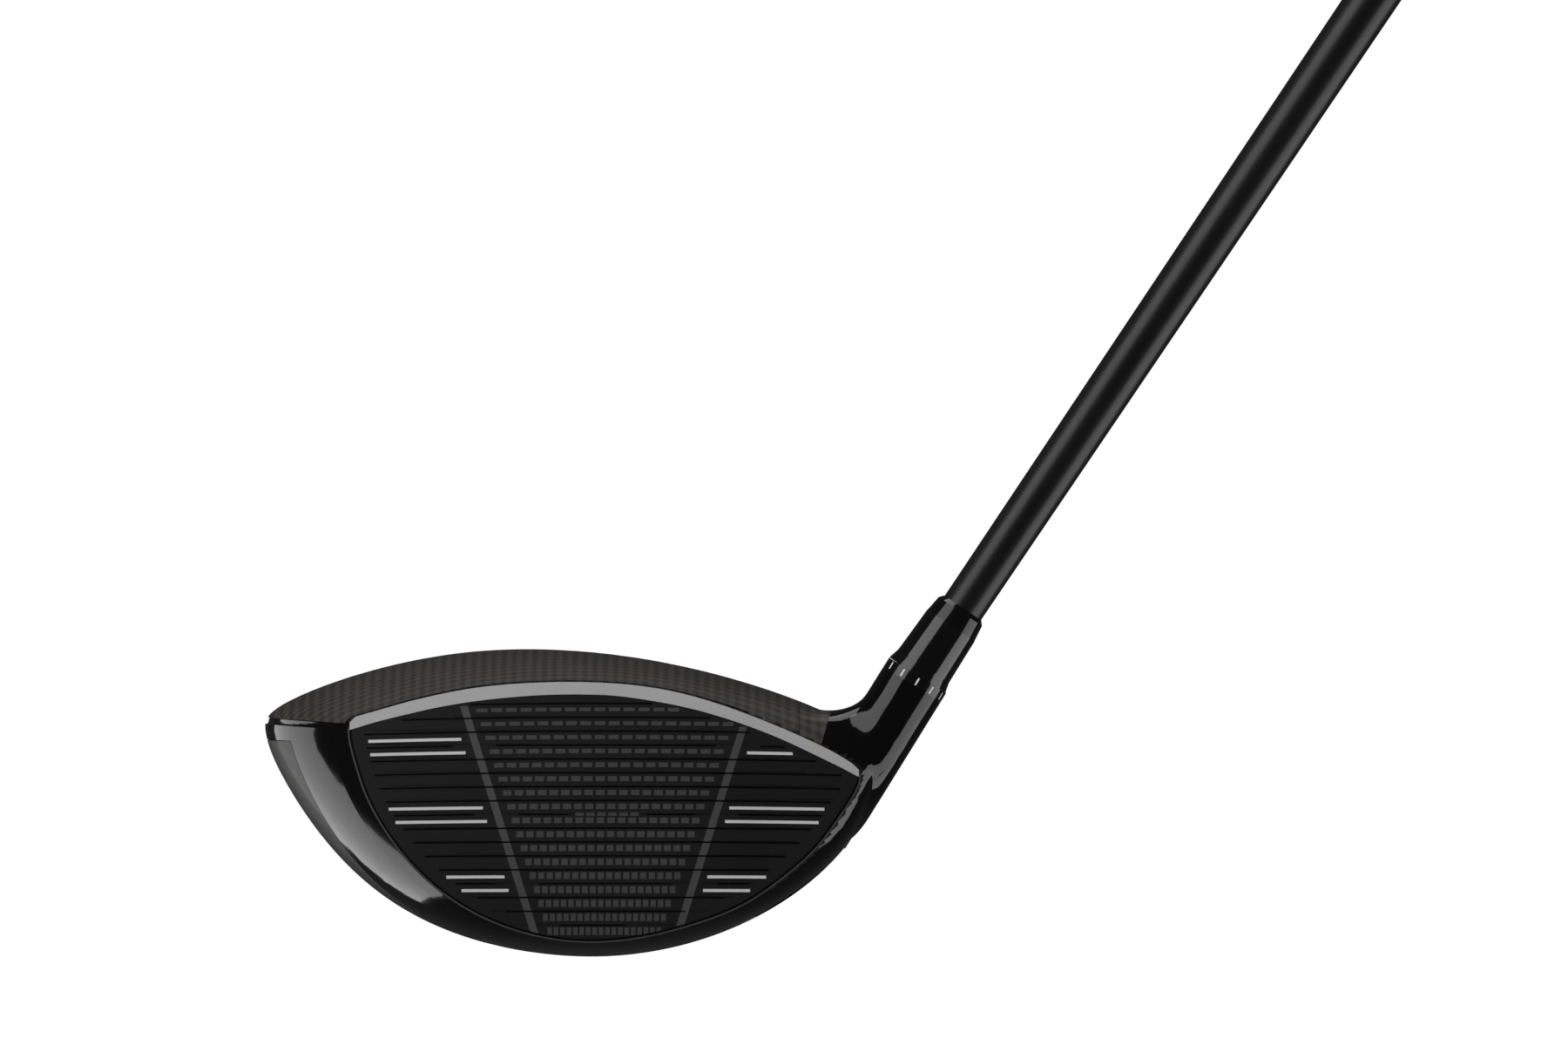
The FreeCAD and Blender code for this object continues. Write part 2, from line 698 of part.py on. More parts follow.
# ---- face ----
def score_lines():
    # shallow grooves across the face, shorter towards the sole
    cuts = []
    for i in range(GROOVES):
        z = GROOVE_TOP_Z - GROOVE_PITCH * i
        reach = groove_reach(z)
        if reach is None:
            continue
        first, last = reach
        strip = Part.makeBox(last - first, 30.0, 0.3, Vector(first, -6.0, z - 0.15))
        cuts.append(strip)
    front = behind_face(-1.5).cut(behind_face(0.15))
    return front.common(Part.makeCompound(cuts))


def groove_reach(z):
    # the grooves stop a little inside the outline of the face
    xs = [p.x for p in FRONT["sole"][1] if abs(p.z - z) < 0.4]
    xs += [p.x for p in FRONT["crown"][1] if abs(p.z - 4.6 - z) < 0.4]
    if not xs:
        return None
    return min(xs) + 5.5, max(xs) - 5.5


# ---- inside ----
def sound_rib(cavity):
    # stiffening web across the sole and a strut up to the crown ledge
    web = Part.makeBox(84.0, 1.2, 9.0, Vector(-44.0, 62.0, -2.0))
    low = cavity.common(web)
    return low.Solids[0]


def slot():
    return Part.makeBox(46.0, 4.0, 9.0, Vector(-26.0, 13.0, -3.0))


def slot_plug(form):
    strip = Part.makeBox(45.8, 3.8, 9.0, Vector(-25.9, 13.1, -3.0))
    skin_only = form.cut(whole_form(SKIN_T + 0.8))
    below = strip.common(skin_only)
    return below


def strongest(shape):
    # the main solid, without slivers left by a cut
    return max(shape.Solids, key=lambda s: s.Volume)


def body_pieces(out):
    form = whole_form(0.0)
    blunt = form.common(behind_face(0.0))
    head = blunt.fuse(neck(skin_surface()))
    cavity = strongest(whole_form(SKIN_T).common(behind_face(FACE_T)))
    room = strongest(cavity.cut(down_rod(-5.0, 62.0, TOWER_R)))
    front = behind_face(-3.0).cut(behind_face(FACE_T))
    tower = down_rod(-5.0, 62.0, TOWER_R)
    plate = blunt.common(front).cut(tower)
    shell = head.cut(room).cut(plate)
    for b in hosel_bores():
        shell = shell.cut(b)
    near_hosel = down_rod(-20.0, 45.0, NEAR_HOSEL_R)
    out["crown_panel"] = panel(CROWN_PATCH).cut(near_hosel)
    seat = panel_seat(CROWN_PATCH).cut(down_rod(-20.0, 45.0, NEAR_HOSEL_R - 0.1))
    window = panel_window(CROWN_PATCH, 0.05, 0.12).cut(down_rod(-20.0, 45.0, NEAR_HOSEL_R + 3.5))
    shell = shell.cut(seat).cut(window)
    plate = plate.cut(seat).cut(score_lines())
    for name, area in (("sole_panel_toe", TOE_PATCH), ("sole_panel_heel", HEEL_PATCH)):
        out[name] = panel(area)
        shell = shell.cut(panel_seat(area)).cut(panel_window(area, 0.045, 0.12))
    ports = (("front_weight", FRONT_BASE, FRONT_AXIS), ("rear_weight", REAR_BASE, REAR_AXIS))
    for name, base, axis in ports:
        out[name + "_port"] = weight_port(base, axis, form)
        out[name] = weight(base, axis)
        out[name + "_screw"] = weight_screw(base, axis)
        shell = shell.cut(rod(base - axis * 9.0, axis, 9.0 + WEIGHT_H + 2.0, PORT_R))
        clear = rod(base - axis * 9.0, axis, 9.0 + WEIGHT_H + 2.0, PORT_R + GAP)
        for panel_name in ("sole_panel_toe", "sole_panel_heel"):
            out[panel_name] = strongest(out[panel_name].cut(clear))
    shell = shell.cut(slot())
    out["slot_plug"] = slot_plug(form)
    out["sound_rib"] = sound_rib(room)
    print("plate", [round(s.Volume, 1) for s in plate.Solids])
    print("frame", [round(s.Volume, 1) for s in shell.Solids])
    out["face_plate"] = strongest(plate)
    out["body_frame"] = strongest(shell)


def build():
    os.makedirs("parts", exist_ok=True)
    out = {}
    body_pieces(out)
    out["hosel_insert"] = hosel_insert()
    out["loft_sleeve"] = loft_sleeve()
    out["sleeve_washer"] = sleeve_washer()
    out["ferrule"] = ferrule()
    out["shaft"] = shaft()
    out["shaft_tip_plug"] = tip_plug()
    out["grip_tape"] = grip_tape()
    out["grip"] = grip()
    out["grip_cap"] = grip_cap()
    out["bolt_retainer"] = bolt_retainer()
    out["bolt_washer"] = bolt_washer()
    out["sleeve_bolt"] = sleeve_bolt()
    for name in sorted(out):
        shape = out[name]
        print(name, shape.ShapeType, [round(s.Volume, 1) for s in shape.Solids], shape.isValid())
        strongest(shape).exportStep("parts/" + name + ".step")


build()
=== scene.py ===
import math

import bmesh
import bpy
from mathutils import Matrix, Vector, kdtree
from mathutils.geometry import convex_hull_2d


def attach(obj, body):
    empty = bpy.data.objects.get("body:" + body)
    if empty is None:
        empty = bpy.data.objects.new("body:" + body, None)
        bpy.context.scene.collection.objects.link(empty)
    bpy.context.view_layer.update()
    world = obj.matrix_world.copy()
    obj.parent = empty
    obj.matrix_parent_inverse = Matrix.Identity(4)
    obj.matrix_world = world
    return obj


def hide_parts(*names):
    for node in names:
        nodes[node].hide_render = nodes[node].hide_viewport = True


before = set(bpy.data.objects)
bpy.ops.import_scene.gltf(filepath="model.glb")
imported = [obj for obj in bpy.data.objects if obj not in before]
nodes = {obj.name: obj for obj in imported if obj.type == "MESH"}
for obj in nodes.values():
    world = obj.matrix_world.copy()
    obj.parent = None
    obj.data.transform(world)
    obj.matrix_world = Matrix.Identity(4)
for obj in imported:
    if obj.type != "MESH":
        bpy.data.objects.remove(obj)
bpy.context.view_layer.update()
MM = 0.001

# ---- face of the club, in mm: the same surface as the CAD face ----
LOFT = math.radians(10.5)
BULGE_R = 305.0
ROLL_R = 300.0
FACE_MID_Z = 30.0
FACE_MID_Y = 3.74
GROOVE_TOP_Z = 53.2
GROOVE_PITCH = 2.88
GROOVES = 17
BROKEN_ROWS = (3, 8, 13)
INK = 0.03

# ---- hosel and shaft axes, in mm ----
HOSEL_LIE = math.radians(58.2)
SHAFT_LIE = math.radians(56.1)
HOSEL_TOP = Vector((64.0, 20.0, 57.0))
AXES_CROSS = Vector((64.6, 20.0, 58.1))
HOSEL_UP = Vector((math.cos(HOSEL_LIE), 0, math.sin(HOSEL_LIE)))
SHAFT_UP = Vector((math.cos(SHAFT_LIE), 0, math.sin(SHAFT_LIE)))
HOSEL_TOEWARD = Vector((-math.sin(HOSEL_LIE), 0, math.cos(HOSEL_LIE)))
SHAFT_TOEWARD = Vector((-math.sin(SHAFT_LIE), 0, math.cos(SHAFT_LIE)))
HOSEL_R = 7.05

# ---- seam between the carbon and the black neck, in metres, seen from the front ----
SEAM_POINT = Vector((0.0451, 0.0, 0.0448))
SEAM_DIRECTION = Vector((-1.0, 0.0, 0.3)).normalized()
CROWN_LOW_Z = 0.0430
CROWN_FLARE_X = 0.030


# ------------------------------------------------------------ material helpers
def new_material(name):
    m = bpy.data.materials.new(name)
    m.use_nodes = True
    m.node_tree.nodes.clear()
    out = m.node_tree.nodes.new("ShaderNodeOutputMaterial")
    return m, m.node_tree, out


def finished(m, out, shader):
    m.node_tree.links.new(shader.outputs[0], out.inputs[0])
    return m


def node(tree, kind, **settings):
    n = tree.nodes.new(kind)
    for name, value in settings.items():
        setattr(n, name, value)
    return n


def place_coords(tree, scale=(1.0, 1.0, 1.0), turn=(0.0, 0.0, 0.0)):
    coords = node(tree, "ShaderNodeTexCoord")
    mapping = node(tree, "ShaderNodeMapping")
    mapping.inputs["Scale"].default_value = scale
    mapping.inputs["Rotation"].default_value = turn
    tree.links.new(coords.outputs["Object"], mapping.inputs["Vector"])
    return mapping.outputs[0]


def noise(tree, vector, scale, detail=3.0):
    n = node(tree, "ShaderNodeTexNoise")
    n.inputs["Scale"].default_value = scale
    n.inputs["Detail"].default_value = detail
    tree.links.new(vector, n.inputs["Vector"])
    return n.outputs["Fac"]


def ramp(tree, fac, stops):
    r = node(tree, "ShaderNodeValToRGB")
    while len(r.color_ramp.elements) < len(stops):
        r.color_ramp.elements.new(0.5)
    for element, (place, colour) in zip(r.color_ramp.elements, stops):
        element.position = place
        element.color = (*colour, 1.0)
    tree.links.new(fac, r.inputs[0])
    return r.outputs[0]


def math_node(tree, operation, a, b=None):
    n = node(tree, "ShaderNodeMath", operation=operation)
    for i, value in enumerate((a, b)):
        if value is None:
            continue
        if isinstance(value, (int, float)):
            n.inputs[i].default_value = value
        else:
            tree.links.new(value, n.inputs[i])
    return n.outputs[0]


def bump(tree, shader, height, strength, distance):
    b = node(tree, "ShaderNodeBump")
    b.inputs["Strength"].default_value = strength
    b.inputs["Distance"].default_value = distance
    tree.links.new(height, b.inputs["Height"])
    tree.links.new(b.outputs[0], shader.inputs["Normal"])


def grey(value, warm=0.0):
    return (value * (1.0 + warm), value, value * (1.0 - warm))


def speckled_shader(tree, dark, light, rough, metallic=0.0, coat=0.0, coat_rough=0.03,
                    grain=900.0, grain_height=0.00001, spec=0.5, warm=0.0):
    # paint, plastic or metal with a little unevenness in colour, sheen and surface
    shader = node(tree, "ShaderNodeBsdfPrincipled")
    where = place_coords(tree)
    broad = noise(tree, where, 45.0)
    fine = noise(tree, where, grain, 2.0)
    colour = ramp(tree, broad, [(0.3, grey(dark, warm)), (0.7, grey(light, warm))])
    tree.links.new(colour, shader.inputs["Base Color"])
    sheen = math_node(tree, "MULTIPLY", fine, rough * 0.35)
    total = math_node(tree, "ADD", sheen, rough * 0.82)
    tree.links.new(total, shader.inputs["Roughness"])
    shader.inputs["Metallic"].default_value = metallic
    shader.inputs["Specular IOR Level"].default_value = spec
    shader.inputs["Coat Weight"].default_value = coat
    shader.inputs["Coat Roughness"].default_value = coat_rough
    bump(tree, shader, fine, 0.25, grain_height)
    return shader


def speckled(name, dark, light, rough, **more):
    m, tree, out = new_material(name)
    return finished(m, out, speckled_shader(tree, dark, light, rough, **more))


def carbon_shader(tree, dark, light, pitch, rough, coat, warm, lean=0.0):
    # woven carbon under lacquer: two sets of tows crossing at 45 degrees; "lean"
    # turns the weave about Y so that it lies on a side panel
    shader = node(tree, "ShaderNodeBsdfPrincipled")
    flat = place_coords(tree, turn=(0.0, lean, 0.0))
    turned = node(tree, "ShaderNodeMapping")
    turned.inputs["Rotation"].default_value = (0.0, 0.0, math.radians(45.0))
    tree.links.new(flat, turned.inputs["Vector"])
    split = node(tree, "ShaderNodeSeparateXYZ")
    tree.links.new(turned.outputs[0], split.inputs[0])
    waves = []
    for axis in (0, 1):
        angle = math_node(tree, "MULTIPLY", split.outputs[axis], math.pi / pitch)
        waves.append(math_node(tree, "SINE", angle))
    product = math_node(tree, "MULTIPLY", waves[0], waves[1])
    steep = math_node(tree, "MULTIPLY", product, 1.6)
    level = node(tree, "ShaderNodeMapRange")
    tree.links.new(steep, level.inputs["Value"])
    level.inputs["From Min"].default_value = -1.0
    level.inputs["From Max"].default_value = 1.0
    broad = noise(tree, flat, 60.0)
    drift = math_node(tree, "MULTIPLY", broad, 0.4)
    tow = math_node(tree, "MULTIPLY", level.outputs[0], 0.6)
    mixed = math_node(tree, "ADD", tow, drift)
    colour = ramp(tree, mixed, [(0.2, grey(dark, warm)), (0.8, grey(light, warm))])
    tree.links.new(colour, shader.inputs["Base Color"])
    shader.inputs["Metallic"].default_value = 0.2
    shader.inputs["Roughness"].default_value = rough
    shader.inputs["Coat Weight"].default_value = coat
    shader.inputs["Coat Roughness"].default_value = 0.08
    bump(tree, shader, level.outputs[0], 0.3, 0.00005)
    return shader


CROWN_LOOK = dict(dark=0.018, light=0.050, pitch=0.0015, rough=0.50, coat=0.10, warm=0.16)
BLACK_LOOK = dict(dark=0.0016, light=0.0024, rough=0.09, coat=0.35, grain=1500.0,
                  grain_height=0.000001)


def carbon(name, **look):
    m, tree, out = new_material(name)
    return finished(m, out, carbon_shader(tree, **look))


def toeward_of_hosel(tree, limit):
    # 1 on the crown side of a straight seam in front of the hosel, 0 elsewhere
    coords = node(tree, "ShaderNodeTexCoord")
    split = node(tree, "ShaderNodeSeparateXYZ")
    tree.links.new(coords.outputs["Object"], split.inputs[0])
    x, z = split.outputs[0], split.outputs[2]
    across = math_node(tree, "MULTIPLY", x, SEAM_DIRECTION.x)
    rise = math_node(tree, "MULTIPLY", z, SEAM_DIRECTION.z)
    place = math_node(tree, "ADD", across, rise)
    past = math_node(tree, "GREATER_THAN", place, limit)
    high = math_node(tree, "GREATER_THAN", z, CROWN_LOW_Z)
    near = math_node(tree, "GREATER_THAN", x, CROWN_FLARE_X)
    return math_node(tree, "MULTIPLY", math_node(tree, "MULTIPLY", past, high), near)


def body_paint(name):
    # gloss black, with the carbon of the crown carried on over the foot of the neck
    m, tree, out = new_material(name)
    black = speckled_shader(tree, **BLACK_LOOK)
    woven = carbon_shader(tree, **CROWN_LOOK)
    mix = node(tree, "ShaderNodeMixShader")
    limit = SEAM_POINT.dot(SEAM_DIRECTION)
    tree.links.new(toeward_of_hosel(tree, limit), mix.inputs[0])
    tree.links.new(black.outputs[0], mix.inputs[1])
    tree.links.new(woven.outputs[0], mix.inputs[2])
    return finished(m, out, mix)


def grip_rubber(name):
    # moulded rubber with rows of small raised diamonds along the shaft
    m, tree, out = new_material(name)
    shader = node(tree, "ShaderNodeBsdfPrincipled")
    tilt = SHAFT_LIE - math.pi / 2.0
    where = place_coords(tree, turn=(0.0, tilt, 0.0))
    split = node(tree, "ShaderNodeSeparateXYZ")
    tree.links.new(where, split.inputs[0])
    rows = math_node(tree, "SINE", math_node(tree, "MULTIPLY", split.outputs[2], math.pi / 0.0016))
    sides = math_node(tree, "SINE", math_node(tree, "MULTIPLY", split.outputs[0], math.pi / 0.0016))
    studs = math_node(tree, "MULTIPLY", rows, sides)
    fine = noise(tree, where, 2200.0, 2.0)
    height = math_node(tree, "ADD", studs, math_node(tree, "MULTIPLY", fine, 0.5))
    # the colour follows the stud relief, lighter on the raised diamonds and darker between them:
    # painted shade in the hollows
    colour = ramp(tree, studs, [(0.2, grey(0.008)), (0.9, grey(0.022))])
    tree.links.new(colour, shader.inputs["Base Color"])
    shader.inputs["Roughness"].default_value = 0.72
    bump(tree, shader, height, 0.6, 0.0002)
    return finished(m, out, shader)


def machined(name, value, rough, warm=0.0):
    # turned metal: fine rings and a soft highlight
    m, tree, out = new_material(name)
    shader = node(tree, "ShaderNodeBsdfPrincipled")
    where = place_coords(tree)
    rings = node(tree, "ShaderNodeTexWave", wave_type="RINGS")
    rings.inputs["Scale"].default_value = 900.0
    rings.inputs["Distortion"].default_value = 1.5
    tree.links.new(where, rings.inputs["Vector"])
    broad = noise(tree, where, 120.0)
    colour = ramp(tree, broad, [(0.3, grey(value * 0.8, warm)), (0.7, grey(value * 1.15, warm))])
    tree.links.new(colour, shader.inputs["Base Color"])
    shader.inputs["Metallic"].default_value = 1.0
    shader.inputs["Roughness"].default_value = rough
    bump(tree, shader, rings.outputs["Fac"], 0.12, 0.00002)
    return finished(m, out, shader)


MATERIALS = {
    "gloss_black": speckled("gloss_black", **BLACK_LOOK),
    "body_paint": body_paint("body_paint"),
    "face_matte": speckled("face_matte", 0.0085, 0.0115, 0.55, grain=5200.0,
                           grain_height=0.00003, spec=0.12),
    # near black for the strips over the face grooves and the small groove round the rim: painted
    # shade in the grooves
    "groove_shade_black": speckled("groove_shade_black", 0.0008, 0.0012, 0.60, spec=0.05, grain=3000.0),
    # light grey for the thin ring round the face: a painted highlight on the rounded face edge,
    # where it catches the light
    "face_edge_highlight": speckled("face_edge_highlight", 0.0420, 0.0520, 0.40, grain=3000.0, spec=0.2),
    "band_grey": speckled("band_grey", 0.3700, 0.4100, 0.42, grain=4200.0,
                          grain_height=0.00002, spec=0.3),
    "score_white": speckled("score_white", 0.5200, 0.6000, 0.50, grain=3000.0, spec=0.3),
    "dash_grey": speckled("dash_grey", 0.0430, 0.0520, 0.48, grain=3600.0, spec=0.15),
    "stripe_grey": speckled("stripe_grey", 0.0480, 0.0640, 0.45, grain=3600.0, spec=0.2),
    "tick_white": speckled("tick_white", 0.8000, 0.8600, 0.45, grain=3000.0),
    "crown_carbon": carbon("crown_carbon", **CROWN_LOOK),
    "toe_carbon": carbon("toe_carbon", dark=0.006, light=0.022, pitch=0.0017, rough=0.45,
                         coat=0.15, warm=0.14, lean=math.radians(55.0)),
    "heel_carbon": carbon("heel_carbon", dark=0.010, light=0.034, pitch=0.0017, rough=0.34,
                          coat=0.5, warm=0.14, lean=math.radians(-35.0)),
    "sleeve_black": speckled("sleeve_black", 0.0020, 0.0030, 0.12, coat=0.5, grain=1900.0,
                             grain_height=0.000001, spec=0.7),
    "ferrule_black": speckled("ferrule_black", 0.0018, 0.0026, 0.12, coat=0.4, grain=1500.0,
                              grain_height=0.000001),
    "shaft_black": speckled("shaft_black", 0.0040, 0.0056, 0.34, coat=0.25, coat_rough=0.30,
                            grain=1300.0, grain_height=0.000001),
    "grip_rubber": grip_rubber("grip_rubber"),
    "slot_rubber": speckled("slot_rubber", 0.010, 0.016, 0.70, grain=2600.0,
                            grain_height=0.00006),
    "weight_steel": machined("weight_steel", 0.22, 0.30),
    "screw_steel": machined("screw_steel", 0.10, 0.28),
    "bare_steel": machined("bare_steel", 0.40, 0.35),
    "washer_plastic": speckled("washer_plastic", 0.02, 0.03, 0.5, grain=2000.0),
    "tape_paper": speckled("tape_paper", 0.62, 0.75, 0.8, grain=2500.0, grain_height=0.00005),
}

NODE_MATERIALS = {
    "body_frame": "body_paint", "face_plate": "face_matte", "crown_panel": "crown_carbon",
    "sole_panel_toe": "toe_carbon", "sole_panel_heel": "heel_carbon",
    "slot_plug": "slot_rubber", "sound_rib": "bare_steel",
    "front_weight_port": "gloss_black", "rear_weight_port": "gloss_black",
    "front_weight": "weight_steel", "rear_weight": "weight_steel",
    "front_weight_screw": "screw_steel", "rear_weight_screw": "screw_steel",
    "hosel_insert": "bare_steel", "bolt_retainer": "bare_steel", "bolt_washer": "screw_steel",
    "sleeve_bolt": "screw_steel", "sleeve_washer": "washer_plastic",
    "loft_sleeve": "sleeve_black", "ferrule": "ferrule_black", "shaft": "shaft_black",
    "shaft_tip_plug": "washer_plastic", "grip_tape": "tape_paper", "grip": "grip_rubber",
    "grip_cap": "grip_rubber",
}


def paint_nodes():
    for name, material in NODE_MATERIALS.items():
        mesh = nodes[name].data
        mesh.materials.clear()
        mesh.materials.append(MATERIALS[material])
    # the front of the face plate is matte, its rim is painted like the body
    mesh = nodes["face_plate"].data
    mesh.materials.append(MATERIALS["body_paint"])
    for polygon in mesh.polygons:
        x, y, z = polygon.center / MM
        polygon.material_index = 0 if abs(y - face_y(x, z)) < 0.22 else 1


# the neck, the head and the rim of the face run into each other under one coat of paint
POLISH_R = 3.0
POLISH_REACH = 26.0
POLISH_HEELWARD_OF = 28.0
POLISH_AHEAD_OF = 46.0
SAME_SIDE = math.cos(math.radians(48.0))


def near_neck(p):
    along = (p - HOSEL_TOP).dot(HOSEL_UP)
    away = (p - HOSEL_TOP - HOSEL_UP * along).length
    return away < POLISH_REACH and p.x > POLISH_HEELWARD_OF and p.y < POLISH_AHEAD_OF


def polish_neck():
    # the sheen follows the average direction of the surface close by; no point moves
    corners = []
    for name in ("body_frame", "face_plate"):
        mesh = nodes[name].data
        own = [corner.vector.copy() for corner in mesh.corner_normals]
        for polygon in mesh.polygons:
            matte = name == "face_plate" and polygon.material_index == 0
            if matte or not near_neck(polygon.center / MM):
                continue
            for i in polygon.loop_indices:
                place = mesh.vertices[mesh.loops[i].vertex_index].co / MM
                corners.append((name, i, place, own[i], polygon.area))
    tree = kdtree.KDTree(len(corners))
    for k, corner in enumerate(corners):
        tree.insert(corner[2], k)
    tree.balance()
    polished = {}
    done = {}
    for name, i, place, normal, area in corners:
        key = tuple(round(v, 2) for v in (*place, *(normal * 0.3)))
        if key not in done:
            total = Vector()
            for _, k, distance in tree.find_range(place, POLISH_R):
                other = corners[k]
                if other[3].dot(normal) > SAME_SIDE:
                    fall = 1.0 - (distance / POLISH_R) ** 2
                    total += other[3] * (other[4] * fall * fall)
            done[key] = total.normalized() if total.length > 0 else normal
        polished[(name, i)] = done[key]
    for name in ("body_frame", "face_plate"):
        mesh = nodes[name].data
        normals = [polished.get((name, i), corner.vector)
                   for i, corner in enumerate(mesh.corner_normals)]
        mesh.normals_split_custom_set([tuple(v) for v in normals])


# ------------------------------------------------------------ face artwork: print, painted shade in the grooves, painted highlight on the rim
def face_y(x, z):
    up = z - FACE_MID_Z
    y = FACE_MID_Y + up * math.tan(LOFT)
    return y + x * x / (2.0 * BULGE_R) + up * up / (2.0 * ROLL_R)


def on_face(x, z, lift):
    return Vector((x, face_y(x, z) - lift, z)) * MM


def face_outline():
    # corner points of the striking face, read from the CAD face plate
    flat = []
    for v in nodes["face_plate"].data.vertices:
        x, y, z = v.co / MM
        if abs(y - face_y(x, z)) < 0.03:
            flat.append(Vector((x, z)))
    hull = [flat[i] for i in convex_hull_2d(flat)]
    area = 0.0
    for a, b in zip(hull, hull[1:] + hull[:1]):
        area += a.x * b.y - b.x * a.y
    return hull if area > 0 else hull[::-1]


def evenly(points, count):
    # closed line through the points, cut into equal steps
    ends = points[1:] + points[:1]
    lengths = [(b - a).length for a, b in zip(points, ends)]
    total = sum(lengths)
    out = []
    i = 0
    gone = 0.0
    for k in range(count):
        want = total * k / count
        while gone + lengths[i] < want:
            gone += lengths[i]
            i += 1
        t = (want - gone) / lengths[i]
        out.append(points[i].lerp(ends[i], t))
    return out


def inset(points, depth):
    n = len(points)
    out = []
    for i, p in enumerate(points):
        along = points[(i + 2) % n] - points[i - 2]
        inward = Vector((-along.y, along.x)).normalized()
        out.append(p + inward * depth)
    return out


def inside(points, x, z):
    hit = False
    for a, b in zip(points, points[1:] + points[:1]):
        if (a.y > z) != (b.y > z):
            if x < (b.x - a.x) * (z - a.y) / (b.y - a.y) + a.x:
                hit = not hit
    return hit


def smooth_line(points, x):
    # height at x on a smooth line through a few points sorted by x
    n = len(points)
    i = 0
    while i < n - 2 and points[i + 1][0] < x:
        i += 1
    x0, z0 = points[i]
    x1, z1 = points[i + 1]
    before = points[i - 1] if i > 0 else (2 * x0 - x1, 2 * z0 - z1)
    after = points[i + 2] if i < n - 2 else (2 * x1 - x0, 2 * z1 - z0)
    t = (x - x0) / (x1 - x0)
    m0 = (z1 - before[1]) / (x1 - before[0]) * (x1 - x0)
    m1 = (after[1] - z0) / (after[0] - x0) * (x1 - x0)
    h = z0 * (1 + 2 * t) * (1 - t) ** 2 + m0 * t * (1 - t) ** 2
    return h + z1 * t * t * (3 - 2 * t) + m1 * t * t * (t - 1)


BAND_LOW = [(-53.7, 47.5), (-46.4, 49.65), (-31.9, 52.9), (-17.3, 54.65), (-5.0, 55.05),
            (4.6, 54.5), (19.1, 51.8), (33.7, 47.0), (48.2, 40.3), (53.3, 37.6)]


class Artwork:
    """Thin shapes on the face, gathered into one mesh per colour: print, with painted shade in the
    grooves and a painted highlight on the rim.
    """

    def __init__(self, name, material):
        self.name = name
        self.material = MATERIALS[material]
        self.bm = bmesh.new()

    def strip(self, low, high, lift=INK):
        # low and high are matching lists of (x, z); each shape has real thickness
        rows = []
        for depth in (lift, -0.02):
            rows.append([self.bm.verts.new(on_face(x, z, depth)) for x, z in low])
            rows.append([self.bm.verts.new(on_face(x, z, depth)) for x, z in high])
        front_low, front_high, back_low, back_high = rows
        for i in range(len(low) - 1):
            j = i + 1
            self.quad(front_low[i], front_low[j], front_high[j], front_high[i])
            self.quad(back_low[j], back_low[i], back_high[i], back_high[j])
            self.quad(front_low[j], front_low[i], back_low[i], back_low[j])
            self.quad(front_high[i], front_high[j], back_high[j], back_high[i])
        return rows

    def quad(self, *corners):
        self.bm.faces.new(corners)

    def closed_strip(self, low, high, lift=INK):
        front_low, front_high, back_low, back_high = self.strip(low, high, lift)
        for i in (0, -1):
            ring = (front_low[i], front_high[i], back_high[i], back_low[i])
            self.quad(*(ring if i == 0 else ring[::-1]))

    def ring(self, outer, inner, lift=INK):
        low = [(p.x, p.y) for p in inner + inner[:1]]
        high = [(p.x, p.y) for p in outer + outer[:1]]
        self.closed_strip(high, low, lift)

    def line(self, x0, x1, z, thick, arch=0.0, lift=INK):
        count = max(2, int(abs(x1 - x0) / 3.0) + 1)
        xs = [x0 + (x1 - x0) * i / count for i in range(count + 1)]
        low = [(x, z - arch * x * x - thick / 2) for x in xs]
        high = [(x, z - arch * x * x + thick / 2) for x in xs]
        self.closed_strip(low, high, lift)

    def done(self):
        bmesh.ops.recalc_face_normals(self.bm, faces=self.bm.faces)
        mesh = bpy.data.meshes.new(self.name)
        self.bm.to_mesh(mesh)
        self.bm.free()
        mesh.materials.append(self.material)
        piece = bpy.data.objects.new(self.name, mesh)
        bpy.context.scene.collection.objects.link(piece)
        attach(piece, "head")
        return piece


def row_arch(z):
    # the rows bow upwards a little towards the top of the face
    return 0.0003 * max(z, 0.0) / 45.0


def row_reach(limits, z):
    xs = [x * 0.25 for x in range(-220, 221)]
    arch = row_arch(z)
    found = []
    for x in xs:
        real_z = z - arch * x * x
        if inside(limits, x, real_z) and real_z < smooth_line(BAND_LOW, x) - 0.45:
            found.append(x)
    if not found:
        return None
    return found[0], found[-1]


GRID_TOP_Z = 51.95
GRID_COLUMNS = 18


def grid_left(z):
    return -24.4 + (43.4 - z) * 0.327


def grid_right(z):
    return 25.1 - (43.4 - z) * 0.351


def toe_stripe(z):
    return -29.7 + (53.4 - z) * 0.315


def heel_stripe(z):
    return 28.9 - (48.5 - z) * 0.318


def groove_z(i):
    return GROOVE_TOP_Z - GROOVE_PITCH * i


def grooves(limits):
    # near-black strips laid over the grooves of the face: painted shade in the grooves
    art = Artwork("face_grooves", "groove_shade_black")
    for i in range(GROOVES):
        z = groove_z(i)
        reach = row_reach(limits, z)
        if reach is None or reach[1] - reach[0] < 4.0:
            continue
        first, last = reach
        spans = [(first, last)]
        if i in BROKEN_ROWS:
            toe = toe_stripe(z)
            heel = heel_stripe(z)
            spans = [(first, toe - 4.9), (toe + 4.3, heel - 4.7), (heel + 4.8, last)]
            if i == 8:
                spans[1:2] = [(toe + 4.3, -7.8), (8.6, heel - 4.5)]
        for a, b in spans:
            if b - a > 1.0:
                art.line(a, b, z, 0.34, row_arch(z), INK * 1.6)
    return art.done()


# row number, then lengths of the upper and lower line on the toe and heel side
SCORE_ROWS = ((3, (19.4, 19.9), (0.0, 9.5)), (8, (19.6, 19.1), (19.8, 19.5)),
              (13, (12.1, 9.8), (12.2, 9.8)))


